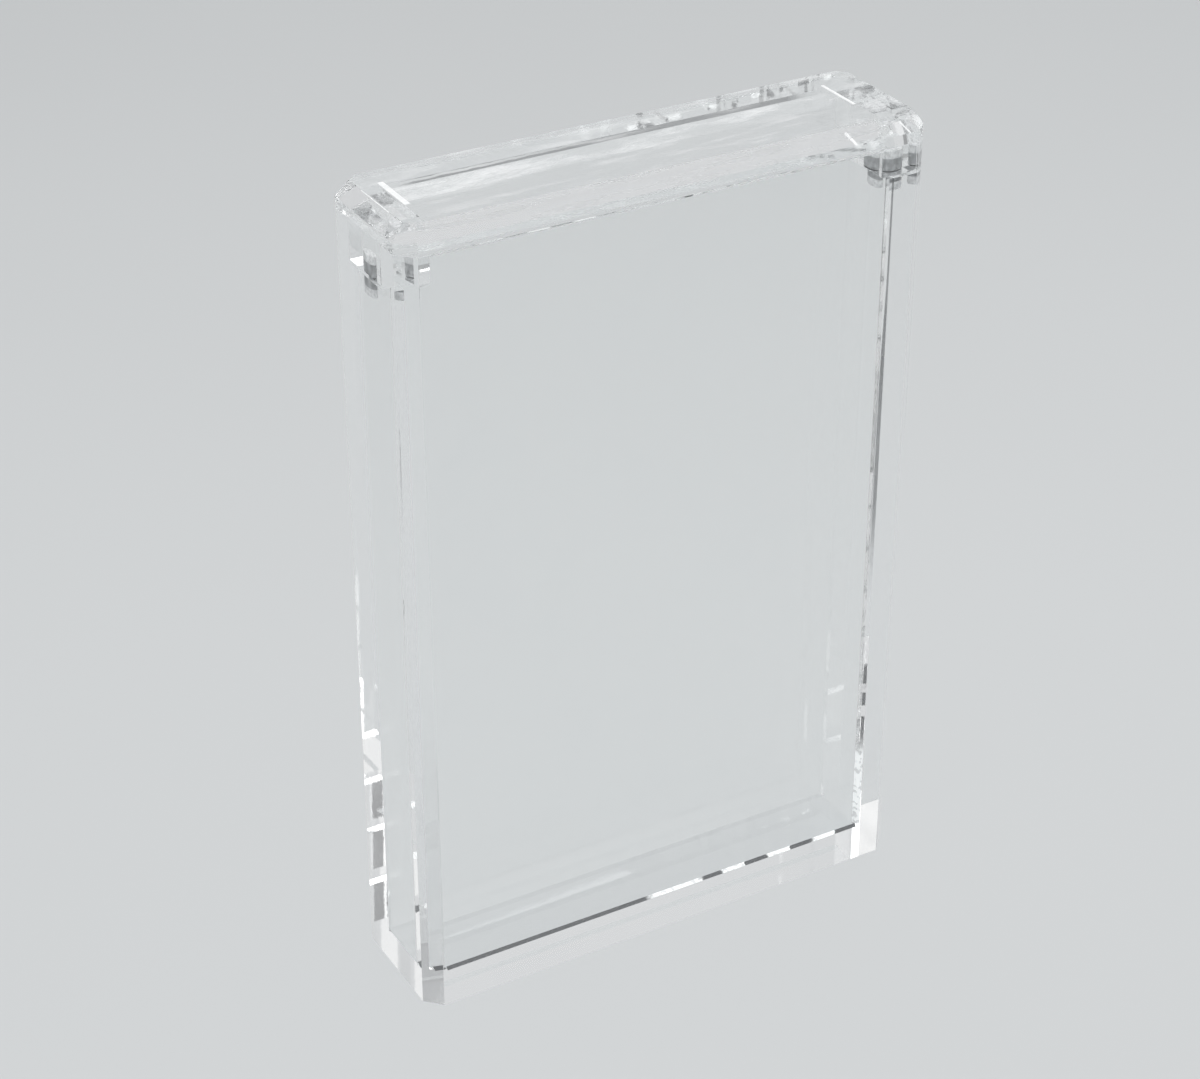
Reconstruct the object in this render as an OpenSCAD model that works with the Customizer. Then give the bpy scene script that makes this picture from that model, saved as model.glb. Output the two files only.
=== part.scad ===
// Clear acrylic display case for one graded trading card.
// An open-topped box of five bonded sheets, and a lift-off lid held by magnets.
// Width runs along X, depth along Y (the front faces -Y), height along Z.
// The origin is the middle of the underside.

/* [Case] */
// Outside width of the case
case_w = 100; // [85:0.5:140]
// Outside depth of the case, front to back
case_d = 26.7; // [24:0.1:40]
// Outside height of the case with its lid on
case_h = 152.4; // [110:0.1:220]
// Chamfer across each of the four upright corners
corner_chamfer = 2.9; // [0.5:0.1:4.5]

/* [Sheets] */
// Thickness of the front panel and of the back panel
panel_t = 7.5; // [5:0.1:8.5]
// Thickness of the left wall and of the right wall
wall_t = 5.5; // [5.5:0.1:7]
// Thickness of the base plate
base_t = 4.4; // [3:0.1:8]
// Thickness of the lid's top plate
lid_t = 4.6; // [4:0.1:8]

// Lead-in bevel along the long inner edges of the mouth, which guides the card in
mouth_bevel = 2.5; // [0.5:0.1:4]

/* [Lid] */
// How far the lid's top bevel reaches in from each side
bevel_run = 2.2; // [0.5:0.1:4]
// How far the lid's top bevel reaches down each side
bevel_drop = 2.7; // [0.5:0.1:3.5]
// Thickness of each end block, along the lid
block_t = 7.1; // [6:0.1:10]
// How far each end block hangs below the lid's top plate
block_h = 7.8; // [6:0.1:14]
// Clearance between an end block and the panel in front of or behind it
block_gap = 0.15; // [0.05:0.05:0.5]
// Bevel round the foot of each end block, which leads it in between the panels
lead_in = 0.6; // [0.2:0.1:0.6]

/* [Magnets] */
// Diameter of every magnet
magnet_d = 4; // [2:0.1:4]
// Length of the magnet in each end block
lid_magnet_l = 4; // [2:0.1:5]
// Length of the magnet in the top of each wall
wall_magnet_l = 3.5; // [2:0.1:5]
// Clearance round a magnet in its bore, which the glue fills
glue_gap = 0.05; // [0.02:0.01:0.2]

/* [Hidden] */

clear_acrylic = [0.86, 0.91, 0.92, 0.45];
nickel = [0.35, 0.36, 0.38];
round_faces = 48;
overcut = 1;

// Inside depth of the case, front to back
cavity_d = case_d - 2 * panel_t;
// Depth of an end block, which slides in between the panels
block_d = cavity_d - 2 * block_gap;
// Width of the mouth, between the end blocks
mouth_w = case_w - 2 * block_t;

// Heights of the joints, from the surface that the case stands on
panel_top = case_h - lid_t;
block_bottom = panel_top - block_h;
panel_h = panel_top - base_t;
wall_h = block_bottom - base_t;

// Where the middle of the front panel, a wall, an end block and a magnet lie
panel_y = case_d / 2 - panel_t / 2;
wall_x = case_w / 2 - wall_t / 2;
block_x = case_w / 2 - block_t / 2;
magnet_x = wall_x;

// Outward direction of each side of the footprint, and how far out it lies
corner_reach = (case_w / 2 + case_d / 2 - corner_chamfer) / sqrt(2);
footprint_sides = [
    for (turn = [0 : 45 : 315])
        [turn, turn % 90 == 45 ? corner_reach : turn % 180 == 0 ? case_w / 2 : case_d / 2]
];

// The footprint of the case: a rectangle with its four corners cut at 45 degrees
module footprint() {
    side_w = case_w / 2;
    side_d = case_d / 2;
    polygon([
        [-side_w + corner_chamfer, -side_d], [side_w - corner_chamfer, -side_d],
        [side_w, -side_d + corner_chamfer], [side_w, side_d - corner_chamfer],
        [side_w - corner_chamfer, side_d], [-side_w + corner_chamfer, side_d],
        [-side_w, side_d - corner_chamfer], [-side_w, -side_d + corner_chamfer]
    ]);
}

// A full-width upright sheet at the front (side -1) or the back (side 1) of the
// footprint, which carries the corner chamfers on its two outer edges and, between
// the end blocks, the bevel of the mouth on its inner top edge
module upright_panel(side) {
    difference() {
        translate([0, 0, base_t])
            linear_extrude(panel_h)
                intersection() {
                    footprint();
                    translate([0, side * panel_y])
                        square([case_w, panel_t], center = true);
                }
        mouth_wedge(side);
    }
}

// What the mouth's bevel takes away from one panel: a wedge that stops at the
// inner faces of the end blocks
module mouth_wedge(side) {
    inner_y = side * cavity_d / 2;
    slope = [
        [inner_y - side * mouth_bevel, panel_top - 2 * mouth_bevel],
        [inner_y + side * 2 * mouth_bevel, panel_top + mouth_bevel],
        [inner_y - side * mouth_bevel, panel_top + mouth_bevel]
    ];
    rotate([90, 0, 90])
        linear_extrude(mouth_w, center = true)
            polygon(slope);
}

// A blind bore for a magnet, open at the mouth, which faces up (1) or down (-1)
module magnet_bore(length, mouth_faces) {
    bore_l = length + overcut;
    translate([0, 0, mouth_faces > 0 ? -length : -overcut])
        cylinder(d = magnet_d + 2 * glue_gap, h = bore_l, $fn = round_faces);
}

// One side wall, between the panels, with a magnet bore in its top edge
module side_wall(side) {
    difference() {
        translate([side * wall_x - wall_t / 2, -cavity_d / 2, base_t])
            cube([wall_t, cavity_d, wall_h]);
        translate([side * magnet_x, 0, block_bottom])
            magnet_bore(wall_magnet_l, 1);
    }
}

// The magnet that is glued flush into the top of a side wall
module wall_magnet(side) {
    translate([side * magnet_x, 0, block_bottom - wall_magnet_l])
        cylinder(d = magnet_d, h = wall_magnet_l, $fn = round_faces);
}

// What the lid's bevel takes away along one side of the footprint: a long wedge
// whose sloping face meets the top bevel_run in and the side bevel_drop down
module bevel_wedge(turn, reach) {
    slope = [
        [reach - 2 * bevel_run, case_h + bevel_drop],
        [reach + bevel_run, case_h - 2 * bevel_drop],
        [reach + bevel_run, case_h + bevel_drop]
    ];
    rotate([0, 0, turn])
        rotate([90, 0, 0])
            translate([0, 0, -case_w])
                linear_extrude(2 * case_w)
                    polygon(slope);
}

module base_plate() {
    color(clear_acrylic)
        linear_extrude(base_t)
            footprint();
}

module front_panel() {
    color(clear_acrylic) upright_panel(-1);
}

module back_panel() {
    color(clear_acrylic) upright_panel(1);
}

module left_wall() {
    color(clear_acrylic) side_wall(-1);
}

module right_wall() {
    color(clear_acrylic) side_wall(1);
}

module left_wall_magnet() {
    color(nickel) wall_magnet(-1);
}

module right_wall_magnet() {
    color(nickel) wall_magnet(1);
}

// The lid's top plate, bevelled along all eight sides of its top face
module lid_plate() {
    color(clear_acrylic)
        difference() {
            translate([0, 0, panel_top])
                linear_extrude(lid_t)
                    footprint();
            for (side = footprint_sides)
                bevel_wedge(side[0], side[1]);
        }
}

// A plate of the given width, standing on bevelled lower edges and extruded to
// the given depth along Y
module bevelled_foot(width, depth) {
    rotate([90, 0, 0])
        linear_extrude(depth, center = true)
            polygon([
                [-width / 2, panel_top], [-width / 2, block_bottom + lead_in],
                [-width / 2 + lead_in, block_bottom], [width / 2 - lead_in, block_bottom],
                [width / 2, block_bottom + lead_in], [width / 2, panel_top]
            ]);
}

// An end block under the lid, which drops in between the panels on to the wall
module lid_block(side) {
    difference() {
        translate([side * block_x, 0, 0])
            intersection() {
                bevelled_foot(block_t, block_d);
                rotate([0, 0, 90])
                    bevelled_foot(block_d, block_t);
            }
        translate([side * magnet_x, 0, block_bottom])
            magnet_bore(lid_magnet_l, -1);
    }
}

module left_lid_block() {
    color(clear_acrylic) lid_block(-1);
}

module right_lid_block() {
    color(clear_acrylic) lid_block(1);
}

// The magnet that is glued flush into the foot of an end block
module lid_magnet(side) {
    translate([side * magnet_x, 0, block_bottom])
        cylinder(d = magnet_d, h = lid_magnet_l, $fn = round_faces);
}

module left_lid_magnet() {
    color(nickel) lid_magnet(-1);
}

module right_lid_magnet() {
    color(nickel) lid_magnet(1);
}

base_plate();
front_panel();
back_panel();
left_wall();
right_wall();
left_wall_magnet();
right_wall_magnet();
lid_plate();
left_lid_block();
right_lid_block();
left_lid_magnet();
right_lid_magnet();
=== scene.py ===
"""Looks of a clear acrylic display case for one graded card.

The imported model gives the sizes. Every sheet is made again here as a closed surface
whose bonded faces carry a finish of their own, so that light runs from one sheet into
the next as it does through a solvent bond.
"""

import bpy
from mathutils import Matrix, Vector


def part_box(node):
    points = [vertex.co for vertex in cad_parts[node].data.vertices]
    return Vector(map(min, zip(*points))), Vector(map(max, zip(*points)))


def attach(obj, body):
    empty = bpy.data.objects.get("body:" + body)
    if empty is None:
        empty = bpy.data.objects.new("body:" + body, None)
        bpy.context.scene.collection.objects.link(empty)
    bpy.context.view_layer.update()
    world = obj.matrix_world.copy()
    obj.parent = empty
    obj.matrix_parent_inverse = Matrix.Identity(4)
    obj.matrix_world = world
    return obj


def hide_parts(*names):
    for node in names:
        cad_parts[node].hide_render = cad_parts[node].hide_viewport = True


bl_info = {
    "name": "Clear display case",
    "version": (1, 0, 0),
    "blender": (4, 5, 0),
    "location": "3D View > Sidebar > Display Case",
    "description": "Makes the looks of a clear acrylic display case around its packed model",
    "category": "Object",
}

import math

import bmesh
import bpy
import numpy as np
from bpy.props import FloatProperty, FloatVectorProperty, IntProperty, PointerProperty
from mathutils import Matrix, Vector

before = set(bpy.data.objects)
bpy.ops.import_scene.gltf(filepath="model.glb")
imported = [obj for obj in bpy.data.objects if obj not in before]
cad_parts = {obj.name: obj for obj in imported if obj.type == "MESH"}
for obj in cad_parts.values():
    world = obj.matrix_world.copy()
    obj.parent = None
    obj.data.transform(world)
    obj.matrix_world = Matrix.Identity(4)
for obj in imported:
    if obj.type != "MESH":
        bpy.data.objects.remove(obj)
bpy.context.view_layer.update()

X, Y, Z = range(3)
# The places of the finishes in a sheet's list of materials. Four carry painted light or shade: the
# cavity floor's painted shade, the open grooves' painted shade and glowing highlights, the bead's
# painted highlight, and the dark lines of painted shade on the back mouth bevel
FACE, EDGE, BOND, PAINTED_GROOVE, HIGHLIGHT_BEAD, GLUED, SHADED_ARRIS, SHADED_INSIDE, SMEARED, MILLED = range(10)
# How near, in metres, a face lies to the plane that it is sorted by, and how near two
# points lie that are merged
TOUCH, WELD = 2e-6, 1e-7
# The least part of a normal along an axis for a face square to it, and for one on a slope
STRAIGHT, LEANING = 0.9, 0.3
SIDES = (("left", -1), ("right", 1))
# The leg of the bead of painted highlight on each side, as a share of the size that the sidebar
# gives
BEAD_SHARES = {-1: 1.3, 1: 0.8}


def span(node):
    """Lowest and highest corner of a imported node, as arrays in metres."""
    low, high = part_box(node)
    return np.array(low), np.array(high)


class Plan:
    """Half widths and heights that the sheets share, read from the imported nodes."""

    def __init__(self):
        _, base = span("base_plate")
        _, front = span("front_panel")
        _, lid = span("lid_plate")
        wall_low, wall_high = span("right_wall")
        block_low, block_high = span("right_lid_block")
        self.half_w, self.half_d, self.floor = base
        self.cavity_x, self.cavity_y = wall_low[X], -front[Y]
        self.panel_top, self.wall_top, self.lid_top = front[Z], wall_high[Z], lid[Z]
        self.block_x, self.block_y = block_low[X], block_high[Y]


# ---------------------------------------------------------------- sizes and colours


class CaseSizes(bpy.types.PropertyGroup):
    """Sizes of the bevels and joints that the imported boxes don't give."""

    corner_chamfer: FloatProperty(
        name="Corner chamfer", description="Cut across each upright corner",
        default=0.0029, min=0.0005, max=0.0045, unit="LENGTH", precision=4)
    bevel_run: FloatProperty(
        name="Lid bevel run", description="How far the lid's bevel reaches in from each side",
        default=0.0022, min=0.0005, max=0.004, unit="LENGTH", precision=4)
    bevel_drop: FloatProperty(
        name="Lid bevel drop", description="How far the lid's bevel reaches down each side",
        default=0.0027, min=0.0005, max=0.0035, unit="LENGTH", precision=4)
    mouth_bevel: FloatProperty(
        name="Mouth bevel", description="Bevel on the panels' inner top edges, between the blocks",
        default=0.0025, min=0.0005, max=0.004, unit="LENGTH", precision=4)
    lead_in: FloatProperty(
        name="Lead-in", description="Bevel round the foot of each end block",
        default=0.0006, min=0.0002, max=0.0006, unit="LENGTH", precision=4)
    seam: FloatProperty(
        name="Lid seam", description="Film of air between the lid and the case",
        default=0.0001, min=0.00002, max=0.0002, unit="LENGTH", precision=5)
    groove: FloatProperty(
        name="Upright groove",
        description="Arris along the walls' upright joints that the bond leaves open",
        default=0.0007, min=0.0001, max=0.0015, unit="LENGTH", precision=4)
    groove_rise: FloatProperty(
        name="Foot groove rise",
        description="Height of the open groove along the foot of each panel",
        default=0.00055, min=0.0001, max=0.0015, unit="LENGTH", precision=5)
    groove_run: FloatProperty(
        name="Foot groove run", description="How far that groove reaches under the panel",
        default=0.00095, min=0.0001, max=0.002, unit="LENGTH", precision=5)
    starved: FloatProperty(
        name="Starved groove", description="Arris of the joint at the right wall's front edge",
        default=0.0011, min=0.0001, max=0.0015, unit="LENGTH", precision=4)
    # The adhesive bead is painted highlight: a white strip for the bright line along each end
    # block's inner top edge
    bead: FloatProperty(
        name="Adhesive bead", description="Leg of the bead where an end block meets the lid plate",
        default=0.0008, min=0.0001, max=0.002, unit="LENGTH", precision=4)
    bead_front: FloatProperty(
        name="Bead start", description="Where the bead starts, along Y from the middle of the lid",
        default=-0.0005, min=-0.005, max=0.005, unit="LENGTH", precision=4)
    bead_back: FloatProperty(
        name="Bead end",
        description="Where the bead ends as a smear over the back panel, along Y",
        default=0.0095, min=0.006, max=0.012, unit="LENGTH", precision=4)
    # The dark arris is painted shade: dark lines painted on the top of the back mouth bevel
    arris: FloatProperty(
        name="Dark arris", description="Height of the unpolished strip atop the back mouth bevel",
        default=0.0006, min=0.0001, max=0.001, unit="LENGTH", precision=4)
    plug: FloatProperty(
        name="Glue plug", description="Depth of glue over the blind end of each magnet",
        default=0.0015, min=0.0001, max=0.0015, unit="LENGTH", precision=4)
    magnet_rim: FloatProperty(
        name="Magnet rim", description="Rounding round the ends of each magnet",
        default=0.0002, min=0.00005, max=0.0005, unit="LENGTH", precision=5)
    magnet_facets: IntProperty(
        name="Magnet facets", description="Facets round each magnet", default=64, min=24, max=128)


class CaseColours(bpy.types.PropertyGroup):
    """Colours of the finishes, the floor and the light."""

    acrylic: FloatVectorProperty(
        name="Acrylic", description="Tint that each crossing of a polished surface leaves",
        default=(0.992, 0.997, 0.996), min=0, max=1, size=3, subtype="COLOR")
    haze: FloatVectorProperty(
        name="Acrylic haze", description="Tint where the sheet is faintly hazed",
        default=(0.975, 0.985, 0.988), min=0, max=1, size=3, subtype="COLOR")
    shade: FloatVectorProperty(
        name="Acrylic shade",
        description="Share of the light that reaches the floor behind one surface",
        default=(0.985, 0.988, 0.99), min=0, max=1, size=3, subtype="COLOR")
    # Painted shade: the cavity floor is tinted darker than the rest of the base, for the shade
    # inside the case
    inside: FloatVectorProperty(
        name="Cavity floor", description="Tint of the base plate's face inside the case",
        default=(0.9, 0.905, 0.91), min=0, max=1, size=3, subtype="COLOR")
    # Painted shade: the grey of a filled groove between its painted highlights
    groove_shade: FloatVectorProperty(
        name="Filled groove, thin", description="Where the bond lies thin in a joint's groove",
        default=(0.62, 0.63, 0.635), min=0, max=1, size=3, subtype="COLOR")
    nickel: FloatVectorProperty(
        name="Nickel", description="Plating of the magnets",
        default=(0.45, 0.46, 0.47), min=0, max=1, size=3, subtype="COLOR")
    nickel_worn: FloatVectorProperty(
        name="Dulled nickel", description="Plating where it is dulled, and dark specks in glue",
        default=(0.3, 0.305, 0.31), min=0, max=1, size=3, subtype="COLOR")
    # Painted shade: the dark of an empty groove, and of the dark lines on the back mouth bevel
    void: FloatVectorProperty(
        name="Empty groove",
        description="Where the bond left a joint's groove empty, and the unpolished arris",
        default=(0.09, 0.095, 0.1), min=0, max=1, size=3, subtype="COLOR")
    # Painted highlight: the pale flecks of a filled groove, which also glow
    filled: FloatVectorProperty(
        name="Filled groove", description="Where the bond filled a joint's groove",
        default=(0.86, 0.88, 0.88), min=0, max=1, size=3, subtype="COLOR")
    plug: FloatVectorProperty(
        name="Glue plug", description="Set glue in the rough blind end of a magnet's bore",
        default=(0.8, 0.81, 0.815), min=0, max=1, size=3, subtype="COLOR")
    plug_deep: FloatVectorProperty(
        name="Glue plug, thin", description="The same where the glue is thin over the magnet",
        default=(0.56, 0.57, 0.575), min=0, max=1, size=3, subtype="COLOR")
    glue_haze: FloatVectorProperty(
        name="Glue haze", description="Haze in the bond between the lid and an end block",
        default=(0.66, 0.67, 0.675), min=0, max=1, size=3, subtype="COLOR")
    # Painted highlight: the bead's white stands in for the bright line along each end block's
    # inner top edge. Wiped dust and milling marks share this colour.
    bead: FloatVectorProperty(
        name="Adhesive bead",
        description="White bead along the inner edge of each end block, and wiped dust",
        default=(0.9, 0.905, 0.905), min=0, max=1, size=3, subtype="COLOR")
    floor: FloatVectorProperty(
        name="Floor", description="Colour of the plain floor",
        default=(0.60, 0.612, 0.615), min=0, max=1, size=3, subtype="COLOR")
    sky: FloatVectorProperty(
        name="Studio walls", description="Light from the upper walls and ceiling",
        default=(0.73, 0.74, 0.75), min=0, max=1, size=3, subtype="COLOR")
    horizon: FloatVectorProperty(
        name="Studio horizon", description="Darker band low down round the set",
        default=(0.35, 0.355, 0.36), min=0, max=1, size=3, subtype="COLOR")
    reflector: FloatVectorProperty(
        name="Reflectors", description="The two white patches of the studio's light",
        default=(1.05, 1.05, 1.05), min=0, max=4, size=3, subtype="COLOR")
    dark_flag: FloatVectorProperty(
        name="Dark flag", description="The dark patch of the studio's light, on the right",
        default=(0.27, 0.27, 0.275), min=0, max=1, size=3, subtype="COLOR")
    grey_flag: FloatVectorProperty(
        name="Grey flag", description="The grey patch beside the dark one",
        default=(0.5, 0.51, 0.52), min=0, max=1, size=3, subtype="COLOR")
    sky_power: FloatProperty(
        name="Studio light", description="Strength of the light from the studio's walls",
        default=0.92, min=0, max=3)
    key_power: FloatProperty(
        name="Key light", description="Power of the softbox overhead",
        default=5.0, min=0, max=60, unit="POWER")
    side_power: FloatProperty(
        name="Side light", description="Power of the softbox on the left",
        default=1.5, min=0, max=60, unit="POWER")


# ------------------------------------------------------------------- shader maths


def rgba(colour):
    """A colour with full cover."""
    return (*colour, 1.0)


def shaded(colour, share):
    """A colour darkened to a share of itself."""
    return [share * channel for channel in colour]


class Value:
    """A shader socket. Used in an expression, it adds the Math nodes that work it out."""

    def __init__(self, shader, socket):
        self.shader, self.socket = shader, socket

    def math(self, operation, *values):
        """A Math node that works on these values."""
        node = self.shader.add("ShaderNodeMath", {"operation": operation}, *values)
        return Value(self.shader, node.outputs[0])

    def __add__(self, other): return self.math("ADD", self, other)
    def __radd__(self, other): return self.math("ADD", other, self)
    def __sub__(self, other): return self.math("SUBTRACT", self, other)
    def __rsub__(self, other): return self.math("SUBTRACT", other, self)
    def __mul__(self, other): return self.math("MULTIPLY", self, other)
    def __rmul__(self, other): return self.math("MULTIPLY", other, self)
    def __truediv__(self, other): return self.math("DIVIDE", self, other)
    def __rtruediv__(self, other): return self.math("DIVIDE", other, self)

    def fraction(self):
        """What the value has over its whole part."""
        return self.math("FRACT", self)

    def between(self, low, high):
        """0 below low, 1 above high, and a smooth step from one to the other."""
        node = self.shader.add(
            "ShaderNodeMapRange", {"interpolation_type": "SMOOTHSTEP"}, self, low, high, 0.0, 1.0)
        return Value(self.shader, node.outputs[0])


class Shader:
    """The nodes of one material or world."""

    def __init__(self, owner):
        owner.use_nodes = True
        self.owner, self.tree = owner, owner.node_tree
        self.tree.nodes.clear()

    def add(self, kind, settings=None, *values, **named):
        """A node of this kind. Its settings are set first, then its inputs, in order or by
        name. An input that is given as None keeps its default."""
        node = self.tree.nodes.new(kind)
        for key, value in (settings or {}).items():
            setattr(node, key, value)
        pairs = list(zip(node.inputs, values))
        pairs += [(node.inputs[key.replace("_", " ")], value) for key, value in named.items()]
        for socket, value in pairs:
            if isinstance(value, Value):
                value = value.socket
            if isinstance(value, bpy.types.NodeSocket):
                self.tree.links.new(value, socket)
            elif value is not None:
                socket.default_value = value
        return node

    def place(self, stretch=(1.0, 1.0, 1.0), source="Object"):
        """The coordinates of the source times stretch: the object's own are in metres."""
        where = self.add("ShaderNodeTexCoord").outputs[source]
        return self.add("ShaderNodeMapping", {"vector_type": "POINT"},
                        Vector=where, Scale=stretch).outputs[0]

    def axes(self):
        """The object's own X, Y and Z, in metres."""
        split = self.add("ShaderNodeSeparateXYZ", None, self.place())
        return [Value(self, socket) for socket in split.outputs]

    def noise(self, scale, detail=2.0, roughness=0.5, stretch=(1.0, 1.0, 1.0), source="Object"):
        """Cloudy noise from 0 to 1, with scale clouds to the metre."""
        node = self.add("ShaderNodeTexNoise", {"noise_dimensions": "3D"},
                        Vector=self.place(stretch, source),
                        Scale=scale, Detail=detail, Roughness=roughness)
        return Value(self, node.outputs[0])

    def mix(self, share, low, high):
        """The colour low where share is 0 and high where it is 1."""
        # The five inputs between the share and the two colours belong to other kinds of data
        unused = [None] * 5
        node = self.add("ShaderNodeMix", {"data_type": "RGBA"}, share, *unused, low, high)
        return node.outputs[2]

    def surface(self, **named):
        """A Principled surface with these inputs."""
        return self.add("ShaderNodeBsdfPrincipled", None, **named).outputs[0]

    def straight_on(self, tint=(1.0, 1.0, 1.0)):
        """No surface at all: light runs straight on, times the tint."""
        return self.add("ShaderNodeBsdfTransparent", None, Color=rgba(tint)).outputs[0]

    def blend(self, share, low, high):
        """The surface low where share is 0 and high where it is 1."""
        return self.add("ShaderNodeMixShader", None, share, low, high).outputs[0]

    def finish(self, surface):
        """Links a surface to the output, and gives the finished material."""
        self.add("ShaderNodeOutputMaterial", None, surface)
        return self.owner


def once(name, make, *values):
    """The material of this name, which make works out the first time it is asked for."""
    return bpy.data.materials.get(name) or make(Shader(bpy.data.materials.new(name)), *values)


# ----------------------------------------------------------------------- finishes

ACRYLIC_IOR = 1.49
# The grain that polishing leaves: marks to the metre, their depth in metres, and how
# they are drawn out along X, Y and Z
CAST_FACE = (700.0, 0.000002, (1.0, 1.0, 1.0))
EDGES = {
    "upright": (2600.0, 0.0000006, (1.0, 1.0, 0.03)),
    "level": (2600.0, 0.0000006, (0.03, 0.03, 1.0)),
    "milled": (2600.0, 0.0000012, (0.03, 1.0, 1.0)),
}
# Most of the surface that wiped dust hides on the lid, and fine marks on a milled bevel
LID_FILM, MILLED_FILM = 0.25, 0.8
# A step this wide, in metres, is sharp to the eye
HAIR = 0.00001


def clear(shader, colours, tint, polish, film=0.0):
    """Polished clear acrylic. A slow wave of the cast sheet, 2.5 times as high as the
    grain of its polish, tilts its surface with it. Light on its way to a lamp passes
    with a slight loss, as through any clear sheet. A film of wiped dust, or of milling
    marks, hides up to the share film of it, in streaks along X."""
    grain, depth, stretch = polish
    wave = shader.noise(55.0, 1.0)
    fine = shader.noise(grain, 3.0, 0.6, stretch)
    haze = shader.noise(38.0, 3.0, 0.6).between(0.52, 0.78)
    bump = shader.add("ShaderNodeBump", None, Strength=1.0, Distance=depth,
                      Height=wave * 2.5 + fine)
    sheet_face = shader.surface(
        IOR=ACRYLIC_IOR, Transmission_Weight=1.0, Roughness=0.0, Normal=bump.outputs[0],
        Base_Color=shader.mix(haze, rgba(tint), rgba(colours.haze)))
    if film:
        streaks = shader.noise(420.0, 4.0, 0.6, (0.16, 1.0, 1.0)).between(0.48, 0.72)
        dust = shader.surface(
            Roughness=0.8, Specular_IOR_Level=0.2, Base_Color=rgba(colours.bead))
        sheet_face = shader.blend(streaks * film, sheet_face, dust)
    shadow = shader.add("ShaderNodeLightPath").outputs["Is Shadow Ray"]
    return shader.finish(shader.blend(shadow, sheet_face, shader.straight_on(colours.shade)))


def bond(shader):
    """A bonded face: both sheets are one solid there, so light runs on unbent."""
    return shader.finish(shader.straight_on())


def painted_starved_joint(shader, colours, edge, width):
    """An open groove that the bond filled only in part, with painted light and shade on it:
    painted shade where it is empty, and pale painted highlights, which glow a little though they
    are no lamp, where it is filled. Along the foot of the front panel it is empty, and dark with
    painted shade, on the left, and filled in dashes of painted highlight on the right. Up the
    right wall, where it reaches from edge over width along X, it is pale with glowing painted
    highlight at the bottom, dark in dashes above that, clear where the bond took, and dark again
    in the upper half, where the line splits in two towards the top."""
    # Where each soft step starts and ends, in metres: along X on the foot, up Z on the wall
    solid_ends, dashes_start = (-0.003, -0.001), (0.009, 0.01)
    pale_bottom_ends, spots_end, upper_starts = (0.020, 0.026), (0.040, 0.044), (0.054, 0.08)
    line_narrows, second_starts = (0.1, 0.125), (0.105, 0.128)
    # Dashes to the metre along the foot, how far they are moved to the left, and how much
    # their ends wander
    pitch, moved, wander = 98.0, 0.0012, 60.0

    x, _, z = shader.axes()
    ragged = (shader.noise(900.0, 2.0) - 0.5) * 0.002
    on_wall = x.between(edge + HAIR, edge + 2 * HAIR)

    gap = ((x + moved) * pitch + ragged * wander).fraction().between(0.46, 0.54)
    dash = (1.0 - gap) * (x + ragged).between(*dashes_start)
    foot = 1.0 - (1.0 - dash) * (x + ragged).between(*solid_ends)

    across = (x - edge) / width
    # Glowing painted highlight at the bottom of the wall's groove
    pale_bottom = 1.0 - (z + ragged).between(*pale_bottom_ends)
    inner_edge = 0.3 + 0.3 * z.between(*line_narrows)
    line = (across - inner_edge).between(0.0, 0.15) * (1.0 - across.between(0.86, 0.98))
    second = 0.7 * (1.0 - across.between(0.08, 0.14)) * z.between(*second_starts)
    uneven = 0.5 + 0.36 * shader.noise(160.0, 3.0, 0.6, (1.0, 1.0, 0.4))
    upper = (line + second) * uneven * (z + ragged * 3.0).between(*upper_starts)
    spots = shader.noise(260.0, 2.0, 0.5, (0.2, 0.2, 1.0)).between(0.46, 0.52)
    lower = 0.85 * line * spots * (1.0 - (z + ragged).between(*spots_end))
    wall = pale_bottom + (1.0 - pale_bottom) * (upper + lower)

    # Where the painted highlights of the filled groove are pale, in flecks
    pale = 0.35 + 0.65 * shader.noise(1100.0, 3.0).between(0.38, 0.52)
    # Painted shade where the groove is empty
    dark = shader.surface(Base_Color=rgba(colours.void), Roughness=0.35)
    # Painted highlight: the filled groove glows a little, though it is no lamp
    filled = shader.surface(
        Roughness=0.25, Emission_Strength=0.3,
        Base_Color=shader.mix(pale, rgba(colours.groove_shade), rgba(colours.filled)),
        Emission_Color=shader.mix(pale, rgba((0, 0, 0)), rgba(colours.filled)))
    solid = shader.blend(on_wall * (1.0 - pale_bottom) + (1.0 - on_wall) * foot, filled, dark)
    covered = 1.0 - on_wall * (1.0 - wall)
    return shader.finish(shader.blend(covered, shader.straight_on(), solid))


def pale_glue_and_highlight(shader, thick, thin):
    """Matt and pale, in uneven patches: set glue on a rough drilled face, and the bead of painted
    highlight along each end block's inner top edge.
    """
    patch = shader.noise(1500.0, 3.0, 0.6).between(0.35, 0.65)
    return shader.finish(shader.surface(
        Roughness=0.6, Specular_IOR_Level=0.2,
        Base_Color=shader.mix(patch, rgba(thin), rgba(thick))))


def glued_face(shader, colours):
    """The face that carries an end block: a clear bond with a faint haze of glue. At the
    right end, where X is above 0, it has dark specks where the glue pulled away."""
    x, _, _ = shader.axes()
    haze = shader.noise(500.0, 3.0, 0.6).between(0.3, 0.7)
    specks = shader.noise(800.0, 2.0, 0.6).between(0.56, 0.62) * x.between(0.0, HAIR)
    glue = shader.surface(
        Roughness=0.6, Specular_IOR_Level=0.2,
        Base_Color=shader.mix(specks, rgba(colours.glue_haze), rgba(colours.nickel_worn)))
    share = 0.15 + 0.3 * haze + 0.4 * specks
    return shader.finish(shader.blend(share, shader.straight_on(), glue))


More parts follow.
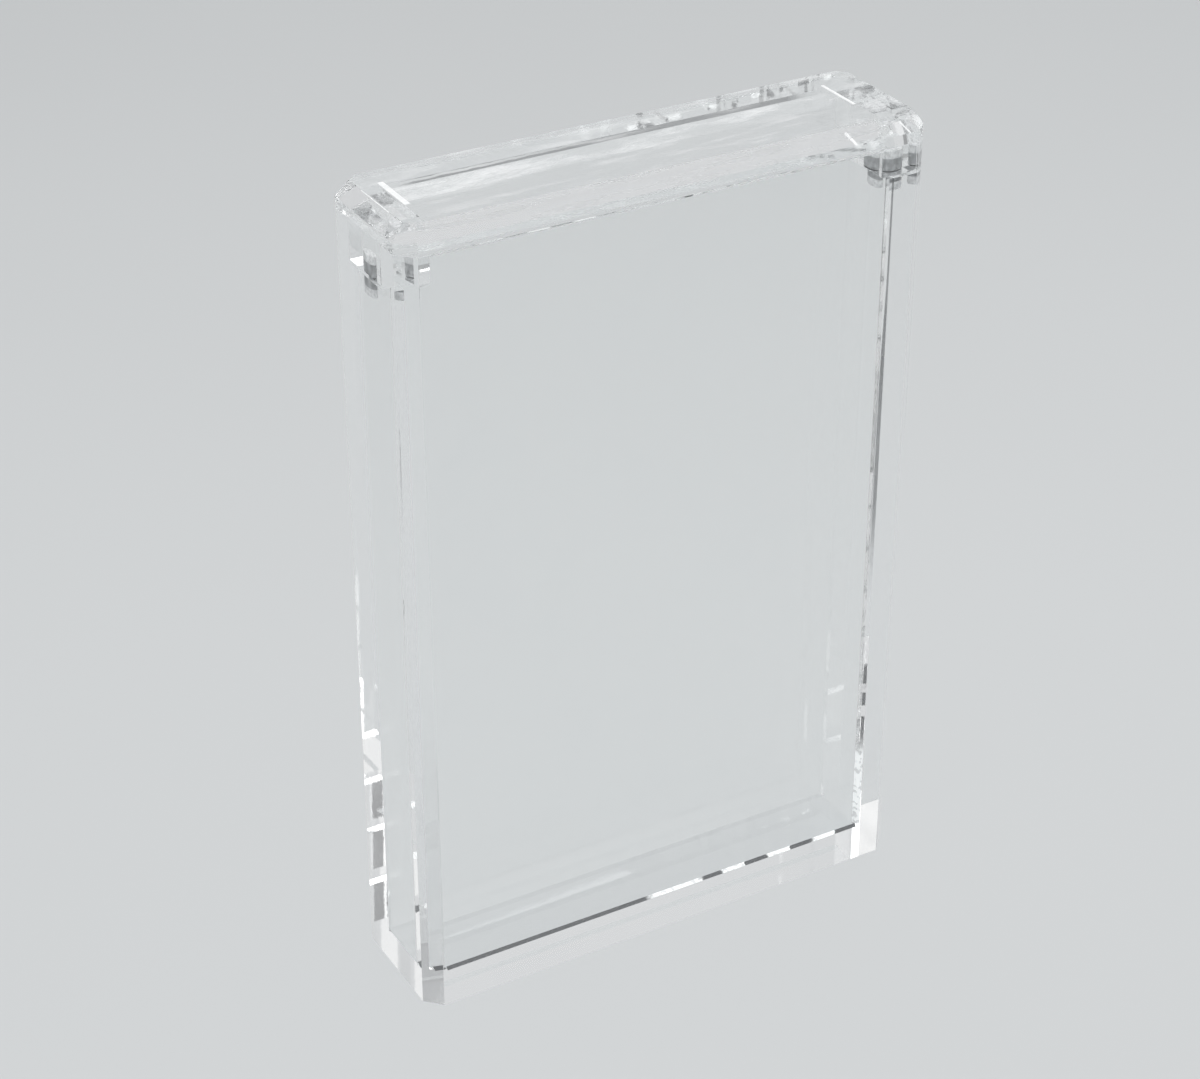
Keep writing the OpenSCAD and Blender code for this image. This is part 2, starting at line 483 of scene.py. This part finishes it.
def painted_shade_arris(shader, colours, top, height):
    """Painted shade on the arris along the top of the back panel's mouth bevel, height deep below
    top: two thin dark lines on the left that run together into one towards the right, and clear
    beyond both ends."""
    # Where each soft step starts and ends along X, in metres
    merge, begin, end = (-0.03, 0.02), (-0.041, -0.036), (0.034, 0.039)
    x, _, z = shader.axes()
    depth = (top - z) / height + (shader.noise(350.0, 3.0) - 0.5) * 0.5
    upper = 1.0 - depth.between(0.2, 0.35)
    lower = depth.between(0.65, 0.8)
    dark = upper + lower + (1.0 - upper) * (1.0 - lower) * x.between(*merge)
    reach = x.between(*begin) * (1.0 - x.between(*end))
    line = shader.surface(Base_Color=rgba(colours.void), Roughness=0.5)
    return shader.finish(shader.blend(dark * reach * 0.8, shader.straight_on(), line))


def nickel(shader, colours):
    """Nickel plating, dulled in patches, with fine marks drawn out along its axis."""
    dull = shader.noise(900.0, 4.0, 0.6)
    fine = shader.noise(5200.0, 2.0, 0.5, (1.0, 1.0, 0.15))
    bump = shader.add("ShaderNodeBump", None, Strength=0.6, Distance=0.00002, Height=fine)
    worn = dull.between(0.35, 0.7)
    return shader.finish(shader.surface(
        Metallic=1.0, Roughness=0.22 + dull * 0.25, Normal=bump.outputs[0],
        Base_Color=shader.mix(worn, rgba(colours.nickel), rgba(colours.nickel_worn))))


def plain_floor(shader, colours):
    """A matt pale floor with a trace of unevenness."""
    uneven = shader.noise(3.0, 2.0).between(0.3, 0.7)
    deeper = shaded(colours.floor, 0.985)
    return shader.finish(shader.surface(
        Roughness=0.75, Specular_IOR_Level=0.2,
        Base_Color=shader.mix(uneven, rgba(colours.floor), rgba(deeper))))


def finishes(sizes, colours, plan, run):
    """The finishes of one sheet, in the order from FACE to MILLED. The polish of its
    edges runs upright or level."""
    return [
        once("acrylic_face", clear, colours, colours.acrylic, CAST_FACE),
        once("acrylic_edge_" + run, clear, colours, colours.acrylic, EDGES[run]),
        once("solvent_bond", bond),
        # The open grooves' finish: painted shade and glowing painted highlights
        once("painted_starved_joint", painted_starved_joint, colours, plan.cavity_x, sizes.starved),
        # The bead's finish: a white strip of painted highlight
        once("highlight_bead", pale_glue_and_highlight, colours.bead, shaded(colours.bead, 0.93)),
        once("glued_face", glued_face, colours),
        # Painted shade: dark lines on the back panel's mouth bevel
        once("painted_shade_arris", painted_shade_arris, colours, plan.panel_top, sizes.arris),
        # The cavity floor's finish: clear acrylic darkened by painted shade
        once("acrylic_inside_shaded", clear, colours, colours.inside, CAST_FACE),
        once("acrylic_smeared", clear, colours, colours.acrylic, CAST_FACE, LID_FILM),
        once("acrylic_milled", clear, colours, colours.acrylic, EDGES["milled"], MILLED_FILM),
    ]


# ------------------------------------------------------------------------ shapes


def carried(rings):
    """A profile carried along a path. rings is K by N by 3: point i of profile k joins
    point i + 1, and both join profile k + 1, in one quad; the end profiles are capped."""
    count = rings.shape[1]
    grid = np.arange(rings.shape[0] * count).reshape(-1, count)
    ahead = np.roll(grid, -1, axis=1)
    quads = np.stack([grid[:-1], ahead[:-1], ahead[1:], grid[1:]], axis=-1).reshape(-1, 4)
    return rings.reshape(-1, 3), [*quads.tolist(), grid[0, ::-1].tolist(), grid[-1].tolist()]


def octagon(half_w, half_d, cut, height):
    """A rectangle 2 half_w by 2 half_d with cut taken off each corner at 45 degrees."""
    x = np.array([-1, 1, 1, 1, 1, -1, -1, -1]) * half_w
    y = np.array([-1, -1, -1, 1, 1, 1, 1, -1]) * half_d
    x = x + np.array([1, -1, 0, 0, -1, 1, 0, 0]) * cut
    y = y + np.array([0, 0, 1, -1, 0, 0, -1, 1]) * cut
    return np.stack([x, y, np.full(8, height)], axis=-1)


def rectangle(x, y, height):
    """A level rectangle from x[0] to x[1] and y[0] to y[1]."""
    return np.array([[x[0], y[0], height], [x[1], y[0], height],
                     [x[1], y[1], height], [x[0], y[1], height]])


def sheet(name, rings, cuts, sort, materials, body):
    """One closed sheet. Its faces are split at each (axis, place) in cuts, so that none
    lies half on a neighbour, and sort(centres, normals) gives each face its finish."""
    points, faces = carried(rings)
    mesh = bpy.data.meshes.new(name)
    mesh.from_pydata(points, [], faces)
    work = bmesh.new()
    work.from_mesh(mesh)
    bmesh.ops.remove_doubles(work, verts=work.verts, dist=WELD)
    bmesh.ops.dissolve_degenerate(work, edges=work.edges, dist=WELD)
    bmesh.ops.recalc_face_normals(work, faces=work.faces)
    for axis, place in cuts:
        normal = np.eye(3)[axis]
        bmesh.ops.bisect_plane(work, geom=[*work.verts, *work.edges, *work.faces], dist=WELD,
                               plane_co=normal * place, plane_no=normal)
    work.to_mesh(mesh)
    work.free()
    for material in materials:
        mesh.materials.append(material)
    count = len(mesh.polygons)
    centres, normals = np.empty(count * 3), np.empty(count * 3)
    mesh.polygons.foreach_get("center", centres)
    mesh.polygons.foreach_get("normal", normals)
    index = sort(centres.reshape(-1, 3), normals.reshape(-1, 3)).astype(np.int32)
    mesh.polygons.foreach_set("material_index", index)
    made = bpy.data.objects.new(name, mesh)
    # Light from the floor passes a clear sheet on its way to the room, as lamp light does
    made.visible_diffuse = False
    bpy.context.scene.collection.objects.link(made)
    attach(made, body)
    return made


def bead_leg(sizes, side):
    """The leg of the bead of painted highlight at one end of the lid: fuller on the left, thinner
    on the right.
    """
    return sizes.bead * BEAD_SHARES[side]


def chosen(context):
    """The sizes and the colours set in the sidebar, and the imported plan."""
    return context.scene.case_sizes, context.scene.case_colours, Plan()


# ------------------------------------------------------------------------ pieces


class DISPLAYCASE_OT_base(bpy.types.Operator):
    """Makes the base plate, bonded under the panels and walls"""

    bl_idname = "displaycase.base"
    bl_label = "Base plate"

    def execute(self, context):
        sizes, colours, plan = chosen(context)
        reach = plan.cavity_y + sizes.groove_run
        rings = np.stack([octagon(plan.half_w, plan.half_d, sizes.corner_chamfer, height)
                          for height in (0.0, plan.floor)])

        def sort(centre, normal):
            top = np.abs(centre[:, Z] - plan.floor) < TOUCH
            # The cavity floor, whose top gets the finish with painted shade
            inside = (np.abs(centre[:, X]) < plan.cavity_x) & (np.abs(centre[:, Y]) < reach)
            level = np.abs(normal[:, Z]) > STRAIGHT
            return np.select([top & ~inside, top, level], [BOND, SHADED_INSIDE, FACE], EDGE)

        made = sheet("base_plate_clear", rings,
                     [(X, -plan.cavity_x), (X, plan.cavity_x), (Y, -reach), (Y, reach)],
                     sort, finishes(sizes, colours, plan, "level"), "case")
        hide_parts("base_plate")
        return {"FINISHED"}


class DISPLAYCASE_OT_panels(bpy.types.Operator):
    """Makes the front and the back panel, with the mouth's bevel along the top"""

    bl_idname = "displaycase.panels"
    bl_label = "Front and back panels"

    def execute(self, context):
        sizes, colours, plan = chosen(context)
        for name, side in (("front_panel", -1), ("back_panel", 1)):
            made = self.panel(name + "_clear", side, sizes, colours, plan)
            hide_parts(name)
        return {"FINISHED"}

    @staticmethod
    def profile(x, outer, mouth, groove, sizes, plan):
        """The panel's section at x: depth y from outer to the inner face, height z from the
        base to the lid's seam. The inner top corner is cut by the mouth's bevel and the
        inner bottom corner by the groove, as far as the shares mouth and groove say: the
        corner's middle point lies on the cut at 1 and at the sharp corner at 0."""
        top, low, inner = plan.panel_top - sizes.seam, plan.floor, plan.cavity_y
        bevel, run, rise = sizes.mouth_bevel, sizes.groove_run, sizes.groove_rise
        y = np.array([outer, outer, inner + bevel, inner + mouth * bevel / 2, inner,
                      inner, inner + groove * run / 2, inner + run])
        z = np.array([low, top, top, top - mouth * bevel / 2, top - bevel,
                      low + rise, low + groove * rise / 2, low])
        return np.stack([np.full(8, x), y, z], axis=-1)

    def panel(self, name, side, sizes, colours, plan):
        """The section carried along X. The corner chamfers shrink its outer face over the
        first and last corner_chamfer; the mouth's bevel runs between the end blocks and
        the groove between the walls, and each ends in a step."""
        deep, shallow = plan.half_d, plan.half_d - sizes.corner_chamfer
        w, wall, block = plan.half_w, plan.cavity_x, plan.block_x
        # Each station's x, outer face, and shares of the mouth's bevel and of the groove
        left = [(-w, shallow, 0, 0), (sizes.corner_chamfer - w, deep, 0, 0), (-wall, deep, 0, 0),
                (-wall, deep, 0, 1), (-block, deep, 0, 1), (-block, deep, 1, 1)]
        right = [(-x, *section) for x, *section in reversed(left)]
        rings = np.stack([self.profile(*station, sizes, plan) for station in left + right])
        rings[:, :, Y] *= side
        wall_top = plan.wall_top - sizes.seam
        arris_low = plan.panel_top - sizes.seam - sizes.arris
        reach = plan.cavity_x + sizes.groove

        def sort(centre, normal):
            inner = np.abs(np.abs(centre[:, Y]) - plan.cavity_y) < TOUCH
            # The wall carries the starved joint's painted shade and highlights, so the front panel
            # is bonded right across it
            open_to = np.where((centre[:, X] > 0) & (side < 0), plan.cavity_x, reach)
            on_wall = (np.abs(centre[:, X]) > open_to) & (centre[:, Z] < wall_top)
            on_base = np.abs(centre[:, Z] - plan.floor) < TOUCH
            face = np.abs(normal[:, Y]) > STRAIGHT
            # The open groove under the front panel carries painted shade and highlights
            starved = (side < 0) & (normal[:, Z] < -LEANING) & ~on_base
            mouth = (normal[:, Z] > LEANING) & (normal[:, Z] < STRAIGHT)
            # Painted shade goes on the top strip of the back panel's mouth bevel
            arris = mouth & (side > 0) & (centre[:, Z] > arris_low)
            return np.select([on_base | (inner & on_wall), starved, arris, mouth, face],
                             [BOND, PAINTED_GROOVE, SHADED_ARRIS, MILLED, FACE], EDGE)

        return sheet(name, rings, [(Z, wall_top), (Z, arris_low), (X, -reach), (X, reach)],
                     sort, finishes(sizes, colours, plan, "upright"), "case")


class DISPLAYCASE_OT_walls(bpy.types.Operator):
    """Makes the left and the right wall, bonded between the panels"""

    bl_idname = "displaycase.walls"
    bl_label = "Side walls"

    def execute(self, context):
        sizes, colours, plan = chosen(context)
        for label, side in SIDES:
            # The wall's outline from above, with its two inner upright edges cut by the grooves
            back, front = sizes.groove, sizes.starved if side > 0 else sizes.groove
            x = side * np.array([plan.half_w, plan.half_w, plan.cavity_x + back, plan.cavity_x,
                                 plan.cavity_x, plan.cavity_x + front])
            y = np.array([-plan.cavity_y, plan.cavity_y, plan.cavity_y, plan.cavity_y - back,
                          front - plan.cavity_y, -plan.cavity_y])
            rings = np.stack([np.stack([x, y, np.full(6, height)], axis=-1)
                              for height in (plan.floor, plan.wall_top - sizes.seam)])

            def sort(centre, normal):
                on_panel = np.abs(np.abs(centre[:, Y]) - plan.cavity_y) < TOUCH
                on_base = np.abs(centre[:, Z] - plan.floor) < TOUCH
                face = np.abs(normal[:, X]) > STRAIGHT
                # The starved joint's face carries painted shade and highlights
                starved = (side > 0) & (normal[:, X] < -LEANING) & (normal[:, Y] < -LEANING)
                return np.select([on_panel | on_base, starved, face], [BOND, PAINTED_GROOVE, FACE], EDGE)

            made = sheet(label + "_wall_clear", rings, [], sort,
                         finishes(sizes, colours, plan, "upright"), "case")
            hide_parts(label + "_wall")
        return {"FINISHED"}


class DISPLAYCASE_OT_lid(bpy.types.Operator):
    """Makes the lid's top plate, bevelled along all eight sides"""

    bl_idname = "displaycase.lid"
    bl_label = "Lid plate"

    def execute(self, context):
        sizes, colours, plan = chosen(context)
        left, right = (plan.block_x - bead_leg(sizes, side) for _, side in SIDES)
        bevel_low, run = plan.lid_top - sizes.bevel_drop, sizes.bevel_run
        # A side that moves in by run shortens a 45 degree corner cut by (2 - sqrt 2) run
        shorter = 2 - math.sqrt(2)
        rings = np.stack([
            octagon(plan.half_w - inset, plan.half_d - inset,
                    sizes.corner_chamfer - shorter * inset, height)
            for height, inset in ((plan.panel_top, 0.0), (bevel_low, 0.0), (plan.lid_top, run))])

        def sort(centre, normal):
            x, y = centre[:, X], centre[:, Y]
            under = np.abs(centre[:, Z] - plan.panel_top) < TOUCH
            on_block = (np.abs(x) > plan.block_x) & (np.abs(y) < plan.block_y)
            # The bead of painted highlight, under the lid beside each end block
            on_bead = (((x < -left) | (x > right)) & (np.abs(x) < plan.block_x)
                       & (y > sizes.bead_front) & (y < sizes.bead_back))
            level = np.abs(normal[:, Z]) > STRAIGHT
            return np.select([under & on_block, under & on_bead, under, level],
                             [GLUED, HIGHLIGHT_BEAD, FACE, SMEARED], EDGE)

        made = sheet("lid_plate_clear", rings,
                     [(X, -plan.block_x), (X, plan.block_x), (X, -left), (X, right),
                      (Y, -plan.block_y), (Y, plan.block_y), (Y, sizes.bead_front),
                      (Y, sizes.bead_back)],
                     sort, finishes(sizes, colours, plan, "level"), "lid")
        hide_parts("lid_plate")
        return {"FINISHED"}


class DISPLAYCASE_OT_blocks(bpy.types.Operator):
    """Makes the two end blocks, bonded under the lid plate"""

    bl_idname = "displaycase.blocks"
    bl_label = "End blocks"

    def execute(self, context):
        sizes, colours, plan = chosen(context)
        lead = sizes.lead_in
        for label, side in SIDES:
            low, high = span(label + "_lid_block")
            bead_low = high[Z] - bead_leg(sizes, side)
            rings = np.stack([
                rectangle((low[X] + inset, high[X] - inset), (low[Y] + inset, high[Y] - inset),
                          height)
                for height, inset in ((low[Z], lead), (low[Z] + lead, 0.0), (high[Z], 0.0))])

            def sort(centre, normal):
                top = np.abs(centre[:, Z] - high[Z]) < TOUCH
                # The bead of painted highlight, on each end block's inner face below the lid
                beaded = ((side * normal[:, X] < -STRAIGHT) & (centre[:, Y] > sizes.bead_front)
                          & (centre[:, Z] > bead_low))
                return np.select([top, beaded], [BOND, HIGHLIGHT_BEAD], EDGE)

            made = sheet(label + "_lid_block_clear", rings,
                         [(Z, bead_low), (Y, sizes.bead_front)], sort,
                         finishes(sizes, colours, plan, "upright"), "lid")
            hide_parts(label + "_lid_block")
        return {"FINISHED"}


class DISPLAYCASE_OT_magnets(bpy.types.Operator):
    """Makes the four nickel plated magnets"""

    bl_idname = "displaycase.magnets"
    bl_label = "Magnets"

    def execute(self, context):
        sizes, colours, _ = chosen(context)
        plating = [once("nickel_plate", nickel, colours),
                   once("glue_plug", pale_glue_and_highlight, colours.plug, colours.plug_deep)]
        for label, _ in SIDES:
            for node, body in ((label + "_lid_magnet", "lid"), (label + "_wall_magnet", "case")):
                made = self.disc(node + "_plated", span(node), sizes, plating, body)
                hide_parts(node)
        return {"FINISHED"}

    @staticmethod
    def disc(name, box, sizes, plating, body):
        """A turned disc: the circle x = cx + r cos t, y = cy + r sin t carried up through
        the heights, with r smaller by the rim at both ends. It stands half a seam above its
        packed foot and stops one and a half below its packed top, because the walls stop a
        seam short, so it shares no face with the sheet round it. From the blind end to the
        plug's depth, glue hides the plating."""
        low, high = box
        low, high = low + [0, 0, sizes.seam / 2], high - [0, 0, sizes.seam * 1.5]
        centre, radius = (low + high) / 2, (high[X] - low[X]) / 2
        turn = np.linspace(0, 2 * math.pi, sizes.magnet_facets, endpoint=False)
        inset, rise = (sizes.magnet_rim * np.array(steps) for steps in ([1, 0.3, 0], [0, 0.3, 1]))
        radii = radius - np.concatenate([inset, inset[::-1]])
        heights = np.concatenate([low[Z] + rise, (high[Z] - rise)[::-1]])
        rings = np.stack([centre[X] + radii[:, None] * np.cos(turn),
                          centre[Y] + radii[:, None] * np.sin(turn),
                          np.broadcast_to(heights[:, None], (6, turn.size))], axis=-1)
        edge = high[Z] - sizes.plug if body == "lid" else low[Z] + sizes.plug

        def sort(centre, normal):
            # 0 is the plating and 1 the glue
            return (centre[:, Z] > edge) == (body == "lid")

        made = sheet(name, rings, [(Z, edge)], sort, plating, body)
        made.visible_diffuse = True
        normals = np.empty(len(made.data.polygons) * 3)
        made.data.polygons.foreach_get("normal", normals)
        # The two flat ends alone are shaded flat
        made.data.polygons.foreach_set("use_smooth", np.abs(normals[Z::3]) < 0.99)
        return made


# ------------------------------------------------------------------------- stage

# The patches of the studio's light: colour, azimuth from +Y towards +X, elevation, and how
# far from its middle each is still full and already gone, in degrees
PATCHES = (
    ("grey_flag", 84, 41, 8, 14),
    ("dark_flag", 112, 40, 6, 11),
    ("reflector", 155, 40, 6, 9),
    ("reflector", -37, 39, 4, 8),
)
# The photograph's view: degrees down and round to the left, the camera's place before
# that turn in widths of the case, and its lens and sensor in millimetres
VIEW_DOWN, VIEW_LEFT = 30.36, 29.73
VIEW_PLACE = (-0.062, -4.325, 3.303)
FOCAL_LENGTH, SENSOR_WIDTH = 84.69, 36.0
# The floor's width, its drop below the case, and the height that the lamps are aimed at
FLOOR_WIDTH, FLOOR_DROP, AIM_HEIGHT = 6.0, 0.0003, 0.08
# Light crosses many faces of the clear sheets on its way, and each crossing is a bounce
CLEAR_BOUNCES, DIFFUSE_BOUNCES = 64, 4


class DISPLAYCASE_OT_stage(bpy.types.Operator):
    """Makes the floor, the studio's light, the softboxes and the camera"""

    bl_idname = "displaycase.stage"
    bl_label = "Floor, lights and camera"

    def execute(self, context):
        _, colours, plan = chosen(context)
        scene = context.scene
        self.floor(scene, colours)
        self.room(scene, colours)
        self.softbox(scene, "key", (0.1, -0.1, 1.0), (1.0, 0.8), colours.key_power)
        self.softbox(scene, "side", (-1.0, -0.3, 0.5), (0.6, 0.6), colours.side_power)
        self.camera(scene, plan)
        scene.view_settings.view_transform = "Standard"
        for kind in ("max", "transmission", "glossy", "transparent_max"):
            setattr(scene.cycles, kind + "_bounces", CLEAR_BOUNCES)
        scene.cycles.diffuse_bounces = DIFFUSE_BOUNCES
        scene.cycles.caustics_refractive = scene.cycles.caustics_reflective = False
        return {"FINISHED"}

    @staticmethod
    def floor(scene, colours):
        """A flat grid of 8 by 8 squares, a hair under the case."""
        across = np.linspace(-FLOOR_WIDTH / 2, FLOOR_WIDTH / 2, 9)
        x, y = np.meshgrid(across, across)
        points = np.stack([x, y, np.full_like(x, -FLOOR_DROP)], axis=-1).reshape(-1, 3)
        grid = np.arange(x.size).reshape(x.shape)
        quads = np.stack([grid[:-1, :-1], grid[:-1, 1:], grid[1:, 1:], grid[1:, :-1]], axis=-1)
        mesh = bpy.data.meshes.new("floor")
        mesh.from_pydata(points, [], quads.reshape(-1, 4).tolist())
        mesh.materials.append(once("pale_floor", plain_floor, colours))
        made = bpy.data.objects.new("floor", mesh)
        scene.collection.objects.link(made)

    @staticmethod
    def room(scene, colours):
        """Pale walls that darken towards the horizon, two white reflectors, and a grey flag
        beside a dark one, each a soft streaked patch about one direction."""
        world = bpy.data.worlds.new("studio")
        scene.world = world
        shader = Shader(world)
        ahead = shader.add("ShaderNodeTexCoord").outputs["Generated"]
        up = Value(shader, shader.add("ShaderNodeSeparateXYZ", None, ahead).outputs["Z"])
        light = shader.mix(up.between(0.08, 0.3), rgba(colours.horizon), rgba(colours.sky))
        streaks = shader.noise(220.0, 3.0, 0.6, (1.0, 1.0, 0.2), "Generated")
        mottle = 0.5 + 0.5 * streaks.between(0.4, 0.52)
        for name, *degrees in PATCHES:
            azimuth, elevation, full, gone = map(math.radians, degrees)
            way = (math.sin(azimuth) * math.cos(elevation),
                   math.cos(azimuth) * math.cos(elevation), math.sin(elevation))
            near = shader.add("ShaderNodeVectorMath", {"operation": "DOT_PRODUCT"}, ahead, way)
            near = Value(shader, near.outputs["Value"]).between(math.cos(gone), math.cos(full))
            light = shader.mix(mottle * near, light, rgba(getattr(colours, name)))
        background = shader.add("ShaderNodeBackground", None, light, colours.sky_power)
        shader.add("ShaderNodeOutputWorld", None, background.outputs[0])

    @staticmethod
    def softbox(scene, name, place, size, power):
        """A rectangular lamp of this size at this place, aimed at the middle of the case."""
        lamp = bpy.data.lights.new(name, "AREA")
        lamp.shape, lamp.size, lamp.size_y, lamp.energy = "RECTANGLE", *size, power
        made = bpy.data.objects.new(name, lamp)
        scene.collection.objects.link(made)
        made.location = place
        aim = Vector((0, 0, AIM_HEIGHT)) - Vector(place)
        made.rotation_euler = aim.to_track_quat("-Z", "Y").to_euler()

    @staticmethod
    def camera(scene, plan):
        """The photograph's view: the camera looks down by VIEW_DOWN, and it and its place
        are turned round the case by VIEW_LEFT."""
        down, round_left = math.radians(VIEW_DOWN), math.radians(VIEW_LEFT)
        turned = Matrix.Rotation(-round_left, 3, "Z")
        ahead = turned @ Vector((0, math.cos(down), -math.sin(down)))
        up = turned @ Vector((0, math.sin(down), math.cos(down)))
        right = ahead.cross(up)
        place = turned @ Vector(VIEW_PLACE) * 2 * plan.half_w
        lens = bpy.data.cameras.new("view")
        lens.lens, lens.sensor_width, lens.sensor_fit = FOCAL_LENGTH, SENSOR_WIDTH, "HORIZONTAL"
        lens.clip_start, lens.clip_end = 0.01, 100.0
        made = bpy.data.objects.new("view", lens)
        scene.collection.objects.link(made)
        made.matrix_world = Matrix((
            (right.x, up.x, -ahead.x, place.x), (right.y, up.y, -ahead.y, place.y),
            (right.z, up.z, -ahead.z, place.z), (0, 0, 0, 1)))
        scene.camera = made


PIECES = (
    DISPLAYCASE_OT_base, DISPLAYCASE_OT_panels, DISPLAYCASE_OT_walls, DISPLAYCASE_OT_lid,
    DISPLAYCASE_OT_blocks, DISPLAYCASE_OT_magnets, DISPLAYCASE_OT_stage,
)


class DISPLAYCASE_PT_panel(bpy.types.Panel):
    """Lists the pieces, their sizes and their colours"""

    bl_idname = "DISPLAYCASE_PT_panel"
    bl_label = "Display Case"
    bl_space_type = "VIEW_3D"
    bl_region_type = "UI"
    bl_category = "Display Case"

    def draw(self, context):
        for piece in PIECES:
            self.layout.operator(piece.bl_idname)
        for group in (context.scene.case_sizes, context.scene.case_colours):
            box = self.layout.box()
            for name in group.__annotations__:
                box.prop(group, name)


CLASSES = (CaseSizes, CaseColours, *PIECES, DISPLAYCASE_PT_panel)


def register():
    """Registers the classes, and gives the scene its sizes and colours."""
    for cls in CLASSES:
        bpy.utils.register_class(cls)
    bpy.types.Scene.case_sizes = PointerProperty(type=CaseSizes)
    bpy.types.Scene.case_colours = PointerProperty(type=CaseColours)


def unregister():
    """Undoes what register did."""
    del bpy.types.Scene.case_colours
    del bpy.types.Scene.case_sizes
    for cls in reversed(CLASSES):
        bpy.utils.unregister_class(cls)


def main():
    register()
    for piece in PIECES:
        group, name = piece.bl_idname.split(".")
        getattr(getattr(bpy.ops, group), name)()


if __name__ == "__main__":
    main()
